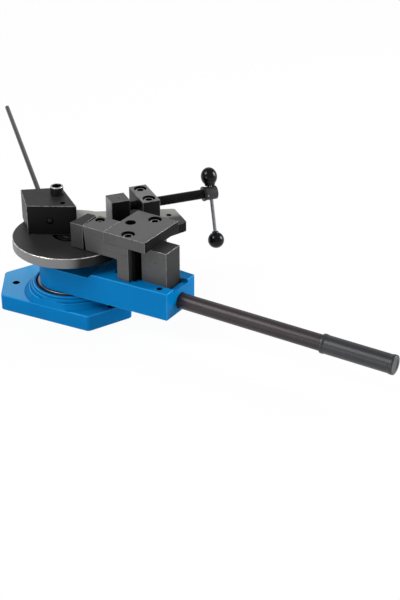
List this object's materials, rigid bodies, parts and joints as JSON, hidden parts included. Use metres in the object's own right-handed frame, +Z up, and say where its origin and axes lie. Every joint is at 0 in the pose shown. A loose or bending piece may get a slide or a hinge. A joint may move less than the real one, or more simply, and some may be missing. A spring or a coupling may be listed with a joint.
{
  "type": "manual tube bender",
  "caption": "Bench bender: cast base, round steel table with clamp block and screw vice, and a long-levered swing arm that carries a bending finger on a slide.",
  "frame": {"origin": "on the pivot axis of the swing arm, in the plane of the base's underside", "axes": "+X along the swing arm and its lever at rest, +Y to the vice's side, away from the operator, +Z up along the pivot"},
  "size_m": [0.9869, 0.4413, 0.1966],
  "materials": {
    "blue_enamel": "smooth gloss enamel on cast iron",
    "dark_steel": "ground and blackened, with bright broken edges",
    "table_steel": "faced in the lathe and blackened, with a bright rim",
    "black_steel": "blackened, with ground top faces",
    "screw_steel": "black oxide",
    "lever_steel": "dark drawn bar",
    "bright_steel": "turned and bright",
    "bronze": "bored bearing bronze",
    "black_plastic": "moulded, high gloss",
    "grip_rubber": "moulded sleeve, satin"
  },
  "bodies": {
    "bed": {"base_casting": "blue_enamel", "king_post": "bright_steel", "thrust_ring": "bright_steel", "table_hub": "dark_steel", "table": "table_steel", "king_washer": "bright_steel", "king_nut": "bright_steel", "anvil_block": "black_steel", "anvil_cap_screw": "screw_steel", "anvil_set_screw": "screw_steel", "stop_lock_screw": "screw_steel", "nut_block": "black_steel", "nut_block_screw_1": "screw_steel", "nut_block_screw_2": "screw_steel"},
    "swing_arm": {"swing_arm_casting": "blue_enamel", "hub_bush": "bronze", "hub_washer": "bright_steel", "lever_rod": "lever_steel", "lever_grip": "grip_rubber", "lever_lock_screw": "screw_steel", "support_block": "dark_steel", "channel_gib": "dark_steel", "gib_screw_1": "screw_steel", "gib_screw_2": "screw_steel", "spacer_plate": "dark_steel"},
    "bending_slide": {"finger_bar": "dark_steel", "tip_insert": "dark_steel", "tip_clamp_screw": "screw_steel", "slide_carrier": "dark_steel", "top_plate": "dark_steel", "top_plate_screw_front": "screw_steel", "top_plate_screw_rear": "screw_steel"},
    "jaw": {"moving_jaw": "black_steel", "jaw_retaining_screw": "screw_steel"},
    "clamp_screw": {"vice_screw": "lever_steel", "screw_collar": "lever_steel", "screw_hub": "lever_steel", "hub_pin": "bright_steel"},
    "tee_handle": {"tee_bar": "bright_steel", "lower_knob": "black_plastic", "upper_knob": "black_plastic"},
    "stop": {"stop_rod": "bright_steel"}
  },
  "joints": [
    {"name": "arm_swing", "type": "hinge", "parent": "bed", "child": "swing_arm", "pos_m": [0, 0, 0.0665], "axis": [0, 0, 1], "range_deg": [-80, 2]},
    {"name": "finger_slide", "type": "slide", "parent": "swing_arm", "child": "bending_slide", "axis": [1, 0, 0], "range_m": [-0.008, 0.0025]},
    {"name": "jaw_slide", "type": "slide", "parent": "bed", "child": "jaw", "axis": [0.5878, 0.809, 0], "range_m": [-0.04, 0.008]},
    {"name": "screw_turn", "type": "hinge", "parent": "jaw", "child": "clamp_screw", "pos_m": [0.08817, 0.12135, 0.157], "axis": [0.5878, 0.809, 0], "range_deg": [-7200, 1440]},
    {"name": "tee_slide", "type": "slide", "parent": "clamp_screw", "child": "tee_handle", "axis": [-0.2446, 0.1777, 0.9532], "range_m": [0, 0.052]},
    {"name": "stop_slide", "type": "slide", "parent": "bed", "child": "stop", "axis": [-0.729, 0.6845, 0], "range_m": [0, 0.06]}
  ],
  "couplings": [
    {"joint": "jaw_slide", "follows": "screw_turn", "m_per_rad": 0.00031831}
  ]
}
